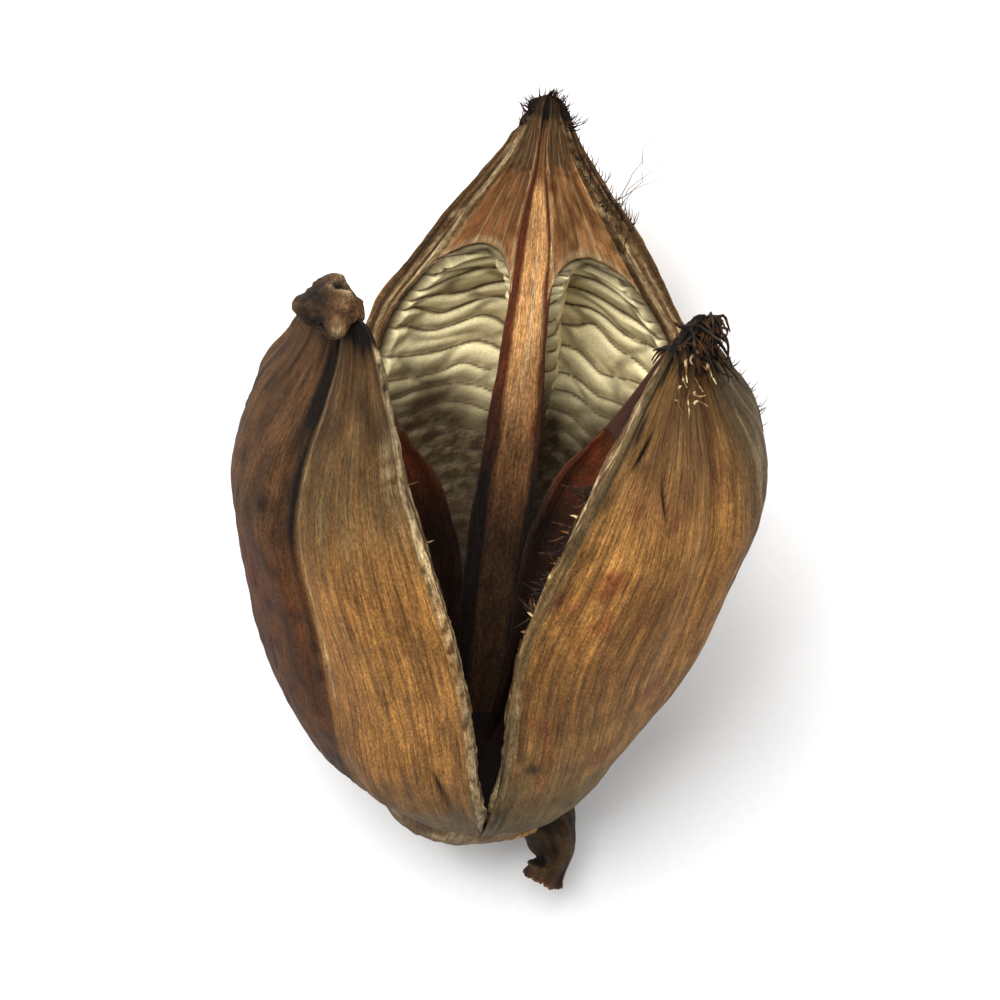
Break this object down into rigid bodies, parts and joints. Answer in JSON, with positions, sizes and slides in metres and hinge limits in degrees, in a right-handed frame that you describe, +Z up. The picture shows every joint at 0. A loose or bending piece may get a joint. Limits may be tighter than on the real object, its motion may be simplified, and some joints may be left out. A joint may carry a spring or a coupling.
{
  "type": "open dried seed pod",
  "caption": "Woody dried seed pod that lies open in boat-shaped valves, with pale ribbed linings in its seed hollows and a short bent stalk.",
  "frame": {"origin": "centre of the bounding box's bottom, on the surface the pod lies on", "axes": "+Z up, +Y towards the valves' tips, +X to the right as seen from the stalk"},
  "size_m": [0.0644, 0.1026, 0.0693],
  "materials": {
    "husk": "dry fibrous brown husk with lengthwise streaks",
    "lining": "dull cream skin, crosswise wrinkled"
  },
  "bodies": {
    "root": {"capsule": "husk", "lining_back_left": "lining", "lining_back_right": "lining", "lining_left_front": "lining", "lining_left_rear": "lining", "lining_right_front": "lining", "lining_right_rear": "lining"}
  },
  "joints": []
}
